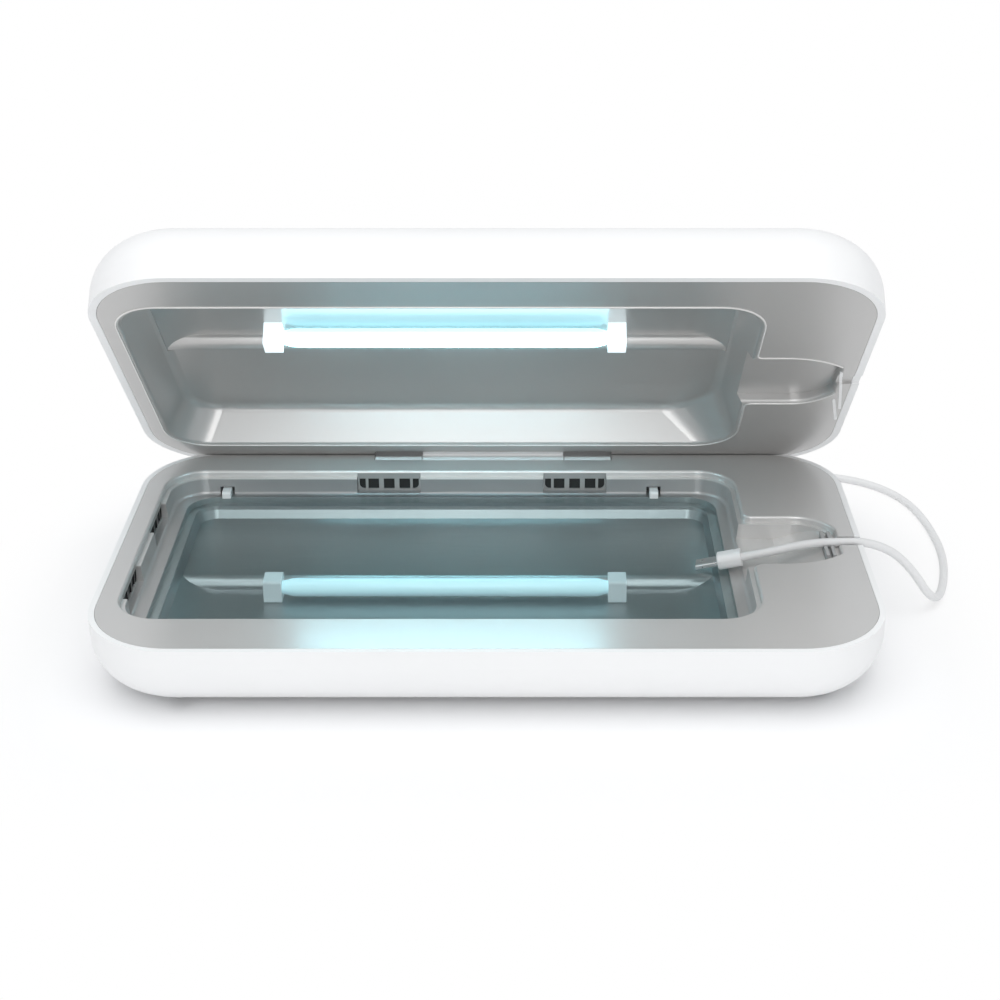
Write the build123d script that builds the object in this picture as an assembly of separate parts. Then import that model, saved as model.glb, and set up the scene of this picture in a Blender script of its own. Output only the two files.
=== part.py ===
from build123d import *
import os
from math import atan2, degrees, radians, sqrt, tan

# A clamshell box that shines ultraviolet light on a phone from above and below.
# X runs along the hinge, Y from the front edge to the hinge, Z up from the table.
# Everything is drawn with the lid shut; the lid is turned open at the end.
# All sizes are in millimetres.

# ---- outside of the box ----
outer_length = 223.4
outer_width = 132.0
outer_corner = 26.0
edge_round = 15.5
foot_height = 1.5
lid_gap = 0.5
base_wall = 1.7
lid_wall = 2.3
seam = 0.1

# ---- chamber opening: how wide the rim is on each side of it ----
rim_left = 7.7
rim_right = 34.1
rim_front = 18.8
rim_rear = 15.4
chamber_corner = 12.0

# ---- base liner: rim, ledge and chamber walls ----
rim_thickness = 1.5
liner_wall = 1.5
rim_edge_round = 0.8
ledge_depth = 2.0
ledge_width = 1.3
chamber_depth = 7.6
wall_draft = 0.5
floor_round = 1.2
floor_thickness = 3.2

# ---- cable channel at the right ----
channel_front = -14.0
channel_rear = 16.8
channel_sill = 0.6
channel_floor_wall = 1.4
funnel_front_length = 16.5
funnel_rear_length = 12.0
funnel_wall = 7.2
funnel_front_end = -7.6
funnel_rear_end = 8.4
mouth_round = 3.0
tip_round = 1.2
ramp_length = 17.5
notch_y = 0.3
notch_width = 5.6
notch_depth = 2.0
lid_channel_depth = 3.0
lid_notch_depth = 0.7
lid_edge_round = 1.1

# ---- ribbed seal in the base's notch, and strips on the lid beside it ----
seal_thickness = 3.0
seal_rib = 1.0
seal_depth = 3.4
seal_slot = 3.4
seal_slot_floor = 2.4
strip_width = 0.9
strip_proud = 0.2
strip_seat = 1.2
strip_play = 0.02
long_strip_start = -5.2
long_strip_end = 21.8
long_strip_start_inset = 6.7
short_strip_start = 14.4
short_strip_end = 30.1
short_strip_start_inset = 6.0
strip_end_inset = 3.05

# ---- glass plate: its distance from the chamber's edge on each side, and its clips ----
plate_margin_left = 6.5
plate_margin_right = 6.1
plate_margin_front = 4.2
plate_margin_rear = 4.0
plate_corner = 9.0
plate_thickness = 2.0
plate_play = 0.2
plate_seat = 2.5
clip_left_inset = 11.4
clip_right_inset = 19.2
clip_window = 4.6
clip_width = 2.7
clip_height = 2.2
clip_window_height = 2.7
clip_overhang = 0.9
clip_back_width = 8.0
clip_back_height = 6.0
clip_back_thickness = 1.0

# ---- sound grilles in the chamber walls ----
grille_length = 20.5
grille_drop = 0.8
grille_thickness = 1.4
grille_setback = 0.2
grille_play = 0.1
grille_hole = 3.5
grille_hole_pitch = 5.05
grille_end_hole = 2.0
grille_end_margin = 0.5
grille_corner_round = 1.6
grille_hole_rise = 0.7
grille_sill = 0.6
rear_grille_offsets = [-20.45, 39.9]
side_grille_offsets = [-24.1, 18.3]

# ---- lamps ----
lamp_radius = 2.85
lamp_length = 98.0
lamp_offset = -0.2
lamp_lead = 5.9
lamp_height = 3.6
cap_length = 5.4
cap_size = 7.2
cap_round = 0.8
cap_clearance = 0.2

# ---- lamp troughs: a deep half with rising ends beside a raised half ----
step_height = 3.6
step_clearance = 5.1
trough_end_length = 12.0

# ---- lid liner ----
lid_recess_depth = 12.0
lid_front_inset = 4.5
lid_end_inset = 5.5
lid_rear_inset = 3.8
lid_foot_corner = 10.9
lid_corner_rear_right = 19.0
lid_floor_round = 3.2
lid_floor_thickness = 1.2
lid_roof_gap = 2.4

# ---- lower reflector ----
reflector_gap = 1.5
reflector_wall = 0.8
reflector_draft = 1.2

# ---- hinge ----
hinge_inset = 4.8
hinge_drop = 4.2
knuckle_radius = 4.4
knuckle_gap = 0.3
centre_knuckle_half = 23.2
side_knuckle_end = 38.7
hinge_clearance = 0.3
pin_radius = 1.6
pin_fixed_play = 0.02
pin_running_play = 0.05
pin_inset = 1.0
arm_plate_height = 4.0
arm_plate_reach = 3.6
arm_plate_gap = 0.2
open_angle = 46.2
stop_gap = 0.3

# ---- fixings; each place is a side in X and Y, then its distance from the end and edge ----
boss_radius = 3.6
liner_post_radius = 2.6
boss_height = 8.8
screw_insets = [(1, -1, 19.7, 16.0), (1, 1, 19.7, 19.0), (-1, -1, 26.7, 10.5), (-1, 1, 26.7, 9.0)]
screw_shank = 1.2
screw_play = 0.2
screw_head = 2.4
screw_head_height = 1.6
screw_reach = 6.0
counterbore_play = 0.4
foot_radius = 6.0
foot_end_inset = 29.7
foot_edge_inset = 28.0
lid_pin_insets = [(1, -1, 21.7, 18.0), (1, 1, 21.7, 22.0), (-1, -1, 25.7, 11.5), (-1, 1, 25.7, 9.5)]
lid_pin_radius = 1.5
lid_pin_play = 0.05
lid_pin_length = 8.0
lid_boss_radius = 3.0

# ---- electronics ----
board_chamber_gap = 4.9
board_end_inset = 10.2
board_front_inset = 22.0
board_rear_inset = 26.0
board_thickness = 1.6
board_post_height = 2.3
post_radius = 2.2
board_post_inset = 4.0
board_screw_radius = 0.9
board_screw_head = 1.7
board_screw_head_height = 1.0
board_screw_reach = 3.0
controller_size = 8.0
controller_height = 1.4
capacitor_radius = 2.6
capacitor_pitch = 8.0
capacitor_inset = 14.0
capacitor_lead = 4.0
driver_width = 12.0
driver_length = 16.0
driver_inset = 12.0
driver_round = 1.0
part_clearance = 0.5
port_board_margin = 8.0
port_board_rear_inset = 5.7
port_board_width = 7.1
port_height = 9.5
jack_end_inset = 47.7
jack_width = 9.0
jack_height = 6.4
jack_bore = 2.4
jack_bore_depth = 8.0
lead_port_end_inset = 31.7
lead_port_width = 13.0
lead_port_height = 6.0
lead_port_wall = 0.7
lead_port_depth = 12.0
port_play = 0.15
sensor_end_inset = 41.7
sensor_edge_inset = 10.0
sensor_size = (4.0, 3.0, 1.5)
magnet_size = (8.0, 4.0, 2.0)

# ---- charging lead ----
cable_diameter = 2.6
plug_width = 5.6
plug_thickness = 4.8
plug_length = 7.2
plug_side_round = 2.0
plug_end_round = 0.5
tongue_length = 6.6
tongue_width = 4.6
tongue_thickness = 1.5
tongue_round = 0.45
supply_plug_width = 11.0
supply_plug_height = 6.4
relief_length = 5.0
relief_radius = 2.2

# ---- levels worked out from the sizes above, from the table up ----
shell_floor = foot_height + base_wall
board_level = shell_floor + board_post_height
boss_split = shell_floor + boss_height
lower_bed = shell_floor + reflector_gap + reflector_wall
plate_bottom = lower_bed + cap_size + cap_clearance
floor_level = plate_bottom + plate_thickness
liner_bottom = floor_level - floor_thickness
rim_level = floor_level + chamber_depth
ledge_level = rim_level - ledge_depth
channel_depth = chamber_depth - channel_sill
channel_bottom = rim_level - channel_depth - channel_floor_wall
lid_level = rim_level + lid_gap
lid_ground = lid_level + lid_recess_depth
upper_bed = lid_ground + step_height
lid_top = upper_bed + lid_floor_thickness + lid_roof_gap + lid_wall

# ---- places worked out from the sizes above ----
left_end = -outer_length / 2
right_end = outer_length / 2
front_edge = -outer_width / 2
rear_edge = outer_width / 2
chamber_left = left_end + rim_left
chamber_right = right_end - rim_right
chamber_front = front_edge + rim_front
chamber_rear = rear_edge - rim_rear
chamber_middle_x = (chamber_left + chamber_right) / 2
chamber_middle_y = (chamber_front + chamber_rear) / 2
funnel_end = right_end - funnel_wall
plate_left = chamber_left + plate_margin_left
plate_right = chamber_right - plate_margin_right
plate_front = chamber_front + plate_margin_front
plate_rear = chamber_rear - plate_margin_rear
clip_places = [plate_left + clip_left_inset, plate_right - clip_right_inset]
rear_grille_places = [chamber_middle_x + offset for offset in rear_grille_offsets]
side_grille_places = [chamber_middle_y + offset for offset in side_grille_offsets]
lamp_left = chamber_middle_x + lamp_offset - lamp_length / 2
lamp_right = lamp_left + lamp_length
lamp_y = chamber_middle_y - lamp_lead
step_front = lamp_y + step_clearance
hinge_y = rear_edge - hinge_inset
hinge_z = rim_level - hinge_drop
across = Axis((0, hinge_y, hinge_z), (1, 0, 0))
board_left = chamber_right + board_chamber_gap
board_right = right_end - board_end_inset
board_front = front_edge + board_front_inset
board_rear = rear_edge - board_rear_inset
jack_x = right_end - jack_end_inset
lead_port_x = right_end - lead_port_end_inset
port_front = rear_edge - lead_port_depth
port_board_rear = rear_edge - port_board_rear_inset
sensor_place = (right_end - sensor_end_inset, front_edge + sensor_edge_inset)


def corner_places(insets):
    """Places given by a side in X and Y and their distances from the end and the edge."""
    return [
        (side_x * (right_end - from_end), side_y * (rear_edge - from_edge))
        for side_x, side_y, from_end, from_edge in insets
    ]


screw_places = corner_places(screw_insets)
lid_pin_places = corner_places(lid_pin_insets)
foot_places = corner_places(
    [(x, y, foot_end_inset, foot_edge_inset) for x in (1, -1) for y in (-1, 1)]
)


# ---- shared shapes ----
def block(x_low, x_high, y_low, y_high, z_low, z_high):
    """A plain box between its corners."""
    size = Box(x_high - x_low, y_high - y_low, z_high - z_low)
    return Pos((x_low + x_high) / 2, (y_low + y_high) / 2, (z_low + z_high) / 2) * size


def rod(x_low, x_high, y, z, radius):
    """A cylinder along X."""
    length = x_high - x_low
    return Pos((x_low + x_high) / 2, y, z) * Rot(0, 90, 0) * Cylinder(radius, length)


def post(place, z_low, z_high, radius):
    """An upright cylinder."""
    return Pos(place[0], place[1], (z_low + z_high) / 2) * Cylinder(radius, z_high - z_low)


def plan(left, right, front, rear, radii, level):
    """A flat face with its own radius at each corner, counted from the front left."""
    corners = [(left, front), (right, front), (right, rear), (left, rear)]
    outline = FilletPolyline(*corners, radius=radii, close=True)
    return Pos(0, 0, level) * make_face(outline)


def outer_plan(inset, level):
    """The outline of the whole box, drawn in by an inset."""
    length = outer_length - 2 * inset
    width = outer_width - 2 * inset
    return Pos(0, 0, level) * RectangleRounded(length, width, outer_corner - inset)


def chamber_plan(grow, level):
    """The chamber's outline, grown outwards, or inwards where grow is negative."""
    radii = [chamber_corner + grow] * 4
    return plan(
        chamber_left - grow,
        chamber_right + grow,
        chamber_front - grow,
        chamber_rear + grow,
        radii,
        level,
    )


def channel_plan(grow, level, start):
    """The cable channel's outline: straight sides, then a funnel towards the notch."""
    front_line = (funnel_end - funnel_front_length, channel_front - grow)
    front_tip = (funnel_end + grow, funnel_front_end - grow)
    rear_line = (funnel_end - funnel_rear_length, channel_rear + grow)
    rear_tip = (funnel_end + grow, funnel_rear_end + grow)
    sides = [
        Line((start, channel_front - grow), front_line),
        TangentArc(front_line, front_tip, tangent=(1, 0)),
        Line(front_tip, rear_tip),
        TangentArc(rear_line, rear_tip, tangent=(1, 0)),
        Line(rear_line, (start, channel_rear + grow)),
        Line((start, channel_rear + grow), (start, channel_front - grow)),
    ]
    return Pos(0, 0, level) * make_face(Wire(sides))


def raise_face(face, low, high):
    """Extrude a flat face, drawn at the level low, up to the level high."""
    return extrude(face, high - low, dir=(0, 0, 1))


def opening_cut(low, high, level):
    """Chamber and channel mouth in one outline, with rounded inner corners."""
    joined = chamber_plan(0, level) + channel_plan(0, level, chamber_right - chamber_corner)
    mouth = [corner for corner in joined.vertices() if abs(corner.X - chamber_right) < seam]
    mouth = [corner for corner in mouth if channel_front - seam < corner.Y < channel_rear + seam]
    joined = fillet(mouth, mouth_round)
    tips = [corner for corner in joined.vertices() if corner.X > funnel_end - seam]
    joined = fillet(tips, tip_round)
    return Pos(0, 0, low - level) * raise_face(joined, low, high)


def trough(left, right, front, level, bed):
    """A lamp trough: flat bed, ends that rise in an arc, and a rounded step at the rear."""
    clear = 2 * level - bed
    middle = (left + right) / 2
    along = [
        Line((left, level), (left, clear)),
        Line((left, clear), (right, clear)),
        Line((right, clear), (right, level)),
        TangentArc(
            (right - trough_end_length, bed), (right, level), tangent=(1, 0)
        ),
        Line((right - trough_end_length, bed), (middle, bed)),
        Line((middle, bed), (left + trough_end_length, bed)),
        TangentArc((left + trough_end_length, bed), (left, level), tangent=(-1, 0)),
    ]
    lengthwise = Plane.XZ * make_face(Wire(along))
    reach = outer_width
    long_cut = extrude(lengthwise, reach / 2, both=True)
    step_rear = step_front + step_height
    cross = [
        Line((front, clear), (step_rear, clear)),
        Line((step_rear, clear), (step_rear, level)),
        TangentArc((step_rear, level), (step_front, bed), tangent=(-1, 0)),
        Line((step_front, bed), (front, bed)),
        Line((front, bed), (front, clear)),
    ]
    crosswise = Plane.YZ * make_face(Wire(cross))
    cross_cut = extrude(crosswise, outer_length / 2, both=True)
    return long_cut & cross_cut


def shell(low, high, wall, upside_down):
    """A tub with a large rounded lower edge, or the same turned over for the lid."""
    height = high - low
    outside = raise_face(outer_plan(0, 0), 0, height)
    outside = fillet(outside.faces().sort_by(Axis.Z)[0].edges(), edge_round)
    inside = raise_face(outer_plan(wall, wall), wall, height + wall)
    inside = fillet(inside.faces().sort_by(Axis.Z)[0].edges(), edge_round - wall)
    tub = outside - inside
    if upside_down:
        return Pos(0, 0, high) * mirror(tub, Plane.XY)
    return Pos(0, 0, low) * tub


def lamp(bed, side):
    """Tube and end caps standing off a bed; side is 1 above the bed and -1 below it."""
    axis_z = bed + side * lamp_height
    tube = rod(lamp_left, lamp_right, lamp_y, axis_z, lamp_radius)
    caps = []
    for near, far in (
        (lamp_left - cap_length, lamp_left),
        (lamp_right, lamp_right + cap_length),
    ):
        cap = block(
            near,
            far,
            lamp_y - cap_size / 2,
            lamp_y + cap_size / 2,
            min(bed, bed + side * cap_size),
            max(bed, bed + side * cap_size),
        )
        caps.append(fillet(cap.edges().filter_by(Axis.X), cap_round))
    return tube, caps


def together(solids):
    """Separate solids that share one node."""
    return Compound([solid for piece in solids for solid in piece.solids()])


# ---- base shell ----
def make_base_shell():
    tub = shell(foot_height, rim_level, base_wall, False)
    for place in screw_places:
        tub += post(place, shell_floor - base_wall / 2, boss_split, boss_radius)
    for place in board_posts():
        tub += post(place, shell_floor - base_wall / 2, board_level, post_radius)
    for place in port_posts():
        tub += post(place, shell_floor - base_wall / 2, port_board_level(), post_radius)
    # keep bosses inside the tub's rounded outer surface
    hull = raise_face(outer_plan(0, foot_height), foot_height, rim_level)
    hull = fillet(hull.faces().sort_by(Axis.Z)[0].edges(), edge_round)
    tub = tub & hull
    # hinge knuckles, each with a web down to the rear wall
    inner_rear = rear_edge - base_wall / 2
    for side in (-1, 1):
        near = side * (centre_knuckle_half + knuckle_gap)
        far = side * side_knuckle_end
        low, high = min(near, far), max(near, far)
        tub += rod(low, high, hinge_y, hinge_z, knuckle_radius)
        tub += block(
            low, high, hinge_y, inner_rear, hinge_z - 2 * knuckle_radius, hinge_z
        )
    bore = pin_radius + pin_fixed_play
    tub -= rod(-outer_length / 2, outer_length / 2, hinge_y, hinge_z, bore)
    # window for the lid's hinge arm
    tub -= block(
        -centre_knuckle_half - knuckle_gap,
        centre_knuckle_half + knuckle_gap,
        hinge_y - knuckle_radius - hinge_clearance,
        outer_width,
        hinge_z - knuckle_radius - hinge_clearance,
        lid_top,
    )
    tub -= stop_slope()
    tub -= notch_cut(rim_level - notch_depth, rim_level + lid_gap)
    # screw holes with counterbores from below
    for place in screw_places:
        tub -= post(place, 0, boss_split + seam, screw_shank + screw_play)
        tub -= post(place, 0, screw_seat(), screw_head + counterbore_play)
    for place in board_posts():
        tub -= post(
            place, board_level - board_screw_reach, board_level + seam, board_screw_radius
        )
    # ports in the rear wall
    tub -= port_outline(jack_x, jack_width, jack_height)
    tub -= port_outline(lead_port_x, lead_port_width, lead_port_height)
    return tub


def stop_slope():
    """The slope along the rear rim that the open lid comes to rest against."""
    slope_distance = hinge_drop + lid_gap - stop_gap
    reach = outer_width
    cutter = Pos(0, 0, slope_distance + reach / 2) * Box(2 * outer_length, reach, reach)
    return Pos(0, hinge_y, hinge_z) * Rot(-open_angle, 0, 0) * cutter


def notch_cut(low, high):
    """The slot that lets the cable out through the right end."""
    return block(
        funnel_end - ledge_width,
        outer_length,
        notch_y - notch_width / 2,
        notch_y + notch_width / 2,
        low,
        high,
    )


def screw_seat():
    return foot_height + screw_head_height + base_wall


def board_posts():
    left = board_left + board_post_inset
    right = board_right - board_post_inset
    front = board_front + board_post_inset
    rear = board_rear - board_post_inset
    return [(left, front), (right, front), (left, rear), (right, rear)]


def port_posts():
    middle = port_board_rear - port_board_width / 2
    inset = port_board_margin - board_post_inset
    return [(jack_x - inset, middle), (lead_port_x + inset, middle)]


def port_board_level():
    return port_height - board_thickness


def port_outline(x, width, height):
    """The space of a port, with play all round, from its front out through the wall."""
    half = width / 2 + port_play
    return block(
        x - half,
        x + half,
        port_front,
        rear_edge + seam,
        port_height - port_play,
        port_height + height + port_play,
    )


# ---- base liner ----
def make_base_liner():
    rim = raise_face(outer_plan(base_wall + seam, 0), 0, rim_thickness)
    liner = Pos(0, 0, rim_level - rim_thickness) * rim
    walls = raise_face(chamber_plan(liner_wall, liner_bottom), liner_bottom, rim_level)
    channel_walls = raise_face(
        channel_plan(liner_wall, channel_bottom, chamber_right), channel_bottom, rim_level
    )
    liner = liner + walls + channel_walls
    liner -= base_hollow()
    rim_face = liner.faces().filter_by(Plane.XY).sort_by(Axis.Z)[-1]
    liner = round_inner_edge(liner, rim_face, rim_edge_round)
    liner -= notch_cut(rim_level - notch_depth, lid_level)
    # seat for the glass plate and the window below it
    liner -= raise_face(plate_plan(plate_play, plate_bottom), plate_bottom, floor_level)
    liner -= raise_face(plate_plan(-plate_seat, liner_bottom), liner_bottom, plate_bottom)
    # grille windows, clip windows, hinge clearance and stop slope
    for x in rear_grille_places:
        liner -= rear_grille_window(x)
    for y in side_grille_places:
        liner -= side_grille_window(y)
    for x in clip_places:
        liner -= block(
            x - clip_window / 2,
            x + clip_window / 2,
            plate_rear + plate_play - seam,
            chamber_rear + liner_wall + seam,
            floor_level,
            floor_level + clip_window_height,
        )
    clear = knuckle_radius + hinge_clearance
    end = side_knuckle_end + hinge_clearance
    liner -= rod(-end, end, hinge_y, hinge_z, clear)
    liner -= block(-end, end, hinge_y, outer_width, ledge_level - clear, lid_level)
    liner -= stop_slope()
    # posts that take the screws
    for place in screw_places:
        liner += post(place, boss_split, rim_level - rim_thickness / 2, liner_post_radius)
        liner -= post(place, boss_split - seam, boss_split + screw_reach, screw_shank)
    return liner


def base_hollow():
    """Everything open above the liner: the step at the rim, the chamber and the channel."""
    top = rim_level - ledge_depth / 3
    foot = chamber_plan(-ledge_width - wall_draft, floor_level)
    chamber = loft([foot, chamber_plan(-ledge_width, ledge_level)], ruled=True)
    chamber = fillet(chamber.faces().sort_by(Axis.Z)[0].edges(), floor_round)
    chamber += raise_face(chamber_plan(-ledge_width, ledge_level), ledge_level, top)
    # the channel's floor climbs from the chamber to the ledge at the notch
    low = rim_level - channel_depth
    start = chamber_right - chamber_corner
    channel = raise_face(channel_plan(-ledge_width, low, start), low, top)
    side_view = [
        (start - liner_wall, low - liner_wall),
        (funnel_end - ramp_length, low - liner_wall),
        (funnel_end - ramp_length, low),
        (funnel_end - ledge_width, ledge_level),
        (outer_length / 2, ledge_level),
        (outer_length / 2, lid_level),
        (start - liner_wall, lid_level),
    ]
    ramp = Plane.XZ * make_face(Polyline(*side_view, close=True))
    channel = channel & extrude(ramp, outer_width / 2, both=True)
    seal_pocket = seal_space(rim_level - seal_depth, top, seam)
    opening = opening_cut(ledge_level, lid_level, rim_level)
    return opening + (chamber + channel + seal_pocket)


def round_inner_edge(liner, rim_face, radius):
    """Round the edge where a rim turns into its opening."""
    return fillet(rim_face.inner_wires()[0].edges(), radius)


def plate_plan(grow, level):
    radii = [plate_corner + grow] * 4
    return plan(
        plate_left - grow,
        plate_right + grow,
        plate_front - grow,
        plate_rear + grow,
        radii,
        level,
    )


def seal_space(low, high, play):
    """The upright pocket across the notch, where a seal stands."""
    far = funnel_end - ledge_width
    return block(
        far - seal_thickness - play,
        far + play,
        funnel_front_end - play,
        funnel_rear_end + play,
        low,
        high,
    )


def rear_grille_window(x):
    return block(
        x - grille_length / 2,
        x + grille_length / 2,
        chamber_rear - ledge_width - wall_draft - liner_wall,
        chamber_rear + liner_wall + seam,
        floor_level + grille_sill,
        rim_level - grille_drop,
    )


def side_grille_window(y):
    return block(
        chamber_left - liner_wall - seam,
        chamber_left + ledge_width + wall_draft + liner_wall,
        y - grille_length / 2,
        y + grille_length / 2,
        floor_level + grille_sill,
        rim_level - grille_drop,
    )


def make_grille():
    """One grille plate, upright in XZ, with three square holes and two rounded ones."""
    height = chamber_depth - grille_drop - grille_sill - grille_play
    half = grille_length / 2 - grille_play
    plate = block(-half, half, 0, grille_thickness, 0, height)
    hole_low = grille_hole_rise
    hole_high = grille_hole_rise + grille_hole
    for step in (-1, 0, 1):
        middle = step * grille_hole_pitch
        low, high = middle - grille_hole / 2, middle + grille_hole / 2
        plate -= block(low, high, -seam, grille_thickness + seam, hole_low, hole_high)
    for side in (-1, 1):
        outer = side * (half - grille_end_margin)
        inner = side * (half - grille_end_margin - grille_end_hole)
        low, high = min(outer, inner), max(outer, inner)
        hole = block(low, high, -seam, grille_thickness + seam, hole_low, hole_high)
        foot = [
            edge
            for edge in hole.edges().filter_by(Axis.Y)
            if abs(edge.center().X - outer) < seam and edge.center().Z < hole_low + seam
        ]
        plate -= fillet(foot, grille_corner_round)
    return plate


def make_rear_grilles():
    front = chamber_rear + grille_setback
    place = [Pos(x, front, floor_level + grille_sill) for x in rear_grille_places]
    return together([spot * make_grille() for spot in place])


def make_side_grilles():
    front = chamber_left - grille_setback
    level = floor_level + grille_sill
    place = [Pos(front, y, level) * Rot(0, 0, 90) for y in side_grille_places]
    return together([spot * make_grille() for spot in place])


# ---- glass plate, clips, reflector and lower lamp ----
def make_glass_plate():
    return raise_face(plate_plan(0, plate_bottom), plate_bottom, floor_level)


def make_plate_clips():
    """Tabs that come through the rear wall and hold the plate's edge down."""
    clips = []
    back = chamber_rear + liner_wall
    for x in clip_places:
        tab = block(
            x - clip_width / 2,
            x + clip_width / 2,
            plate_rear - clip_overhang,
            back + clip_back_thickness / 2,
            floor_level,
            floor_level + clip_height,
        )
        nose = tab.edges().filter_by(Axis.X).sort_by(Axis.Y)[0:2].sort_by(Axis.Z)[-1]
        tab = fillet(nose, clip_overhang)
        tab += block(
            x - clip_back_width / 2,
            x + clip_back_width / 2,
            back,
            back + clip_back_thickness,
            floor_level - clip_back_height / 2,
            floor_level + clip_back_height / 2,
        )
        clips.append(tab)
    return together(clips)


def make_lower_reflector():
    ground = lower_bed + step_height
    bottom = lower_bed - reflector_wall
    inset = -plate_seat
    outside = raise_face(plate_plan(inset + reflector_wall, bottom), bottom, liner_bottom)
    pan = loft([plate_plan(inset - reflector_draft, ground), plate_plan(inset, liner_bottom)])
    left = plate_left + plate_seat + reflector_draft
    right = plate_right - plate_seat - reflector_draft
    front = plate_front + plate_seat + reflector_draft + plate_corner / 2
    return outside - pan - trough(left, right, front, ground, lower_bed)


def make_lower_lamp():
    return lamp(lower_bed, 1)


# ---- base electronics ----
def make_control_board():
    board = block(
        board_left,
        board_right,
        board_front,
        board_rear,
        board_level,
        board_level + board_thickness,
    )
    for place in board_posts():
        board -= post(
            place, board_level - seam, board_level + 2 * board_thickness, board_screw_radius
        )
    return board


def make_board_screws():
    screws = []
    top = board_level + board_thickness
    for place in board_posts():
        shank = post(
            place, board_level - board_screw_reach + seam, top, board_screw_radius - seam / 2
        )
        head = post(place, top, top + board_screw_head_height, board_screw_head)
        screws.append(shank + head)
    return together(screws)


def make_board_parts():
    """The larger components on the control board: a controller and two capacitors."""
    top = board_level + board_thickness
    middle = (board_left + board_right) / 2
    half = controller_size / 2
    controller = block(middle - half, middle + half, -half, half, top, top + controller_height)
    capacitors = []
    for row in (0, 1):
        place = (middle - capacitor_lead, board_rear - capacitor_inset - row * capacitor_pitch)
        capacitors.append(post(place, top, channel_bottom - part_clearance, capacitor_radius))
    return together([controller] + capacitors)


def make_lamp_driver():
    """The transformer block that feeds the lamps."""
    middle = (board_left + board_right) / 2
    front = board_front + driver_inset
    core = block(
        middle - driver_width / 2,
        middle + driver_width / 2,
        front,
        front + driver_length,
        board_level + board_thickness,
        channel_bottom - part_clearance,
    )
    return fillet(core.edges().filter_by(Axis.Z), driver_round)


def make_port_board():
    return block(
        jack_x - port_board_margin,
        lead_port_x + port_board_margin,
        port_board_rear - port_board_width,
        port_board_rear,
        port_board_level(),
        port_height,
    )


def make_power_jack():
    body = block(
        jack_x - jack_width / 2,
        jack_x + jack_width / 2,
        port_front + port_play,
        rear_edge,
        port_height,
        port_height + jack_height,
    )
    axis = Pos(jack_x, rear_edge - jack_bore_depth / 2, port_height + jack_height / 2)
    return body - axis * Rot(90, 0, 0) * Cylinder(jack_bore, jack_bore_depth + seam)


def make_lead_port():
    can = block(
        lead_port_x - lead_port_width / 2,
        lead_port_x + lead_port_width / 2,
        port_front + port_play,
        rear_edge,
        port_height,
        port_height + lead_port_height,
    )
    hollow = block(
        lead_port_x - lead_port_width / 2 + lead_port_wall,
        lead_port_x + lead_port_width / 2 - lead_port_wall,
        rear_edge - lead_port_depth + lead_port_wall,
        rear_edge + seam,
        port_height + lead_port_wall,
        port_height + lead_port_height - lead_port_wall,
    )
    return can - hollow


def make_lid_sensor():
    length, width, height = sensor_size
    x, y = sensor_place
    top = rim_level - rim_thickness
    return block(x - length / 2, x + length / 2, y - width / 2, y + width / 2, top - height, top)


# ---- small base parts ----
def make_base_seal():
    """A soft block across the notch: two upright ribs with a slot for the cable."""
    low = rim_level - seal_depth
    slot_low = rim_level - seal_slot_floor
    ribs = seal_space(low, rim_level - rim_edge_round, 0)
    front_of_seal = funnel_end - ledge_width - seal_thickness
    ribs -= block(
        front_of_seal + seal_rib,
        front_of_seal + seal_thickness - seal_rib,
        funnel_front_end - seal_depth,
        funnel_rear_end + seal_depth,
        slot_low,
        lid_level,
    )
    return ribs - block(
        front_of_seal - seam,
        funnel_end,
        notch_y - seal_slot / 2,
        notch_y + seal_slot / 2,
        slot_low,
        lid_level,
    )


def make_hinge_pin():
    end = side_knuckle_end - pin_inset
    return rod(-end, end, hinge_y, hinge_z, pin_radius)


def make_feet():
    feet = []
    for place in foot_places:
        foot = post(place, 0, foot_height, foot_radius)
        feet.append(fillet(foot.faces().sort_by(Axis.Z)[0].edges(), foot_height / 3))
    return together(feet)


def make_base_screws():
    screws = []
    for place in screw_places:
        seat = screw_seat()
        head = post(place, seat - screw_head_height, seat, screw_head)
        shank = post(place, seat, boss_split + screw_reach - seam, screw_shank)
        screws.append(head + shank)
    return together(screws)


# ---- lid ----
def lid_floor_plan(grow, level):
    """The foot of the lid's recess, drawn in from the opening, more on three sides."""
    radius = lid_foot_corner + grow
    return plan(
        chamber_left + lid_end_inset - grow,
        chamber_right - lid_end_inset + grow,
        chamber_front + lid_front_inset - grow,
        chamber_rear - lid_rear_inset + grow,
        [radius, radius, lid_corner_rear_right + grow, radius],
        level,
    )


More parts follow.
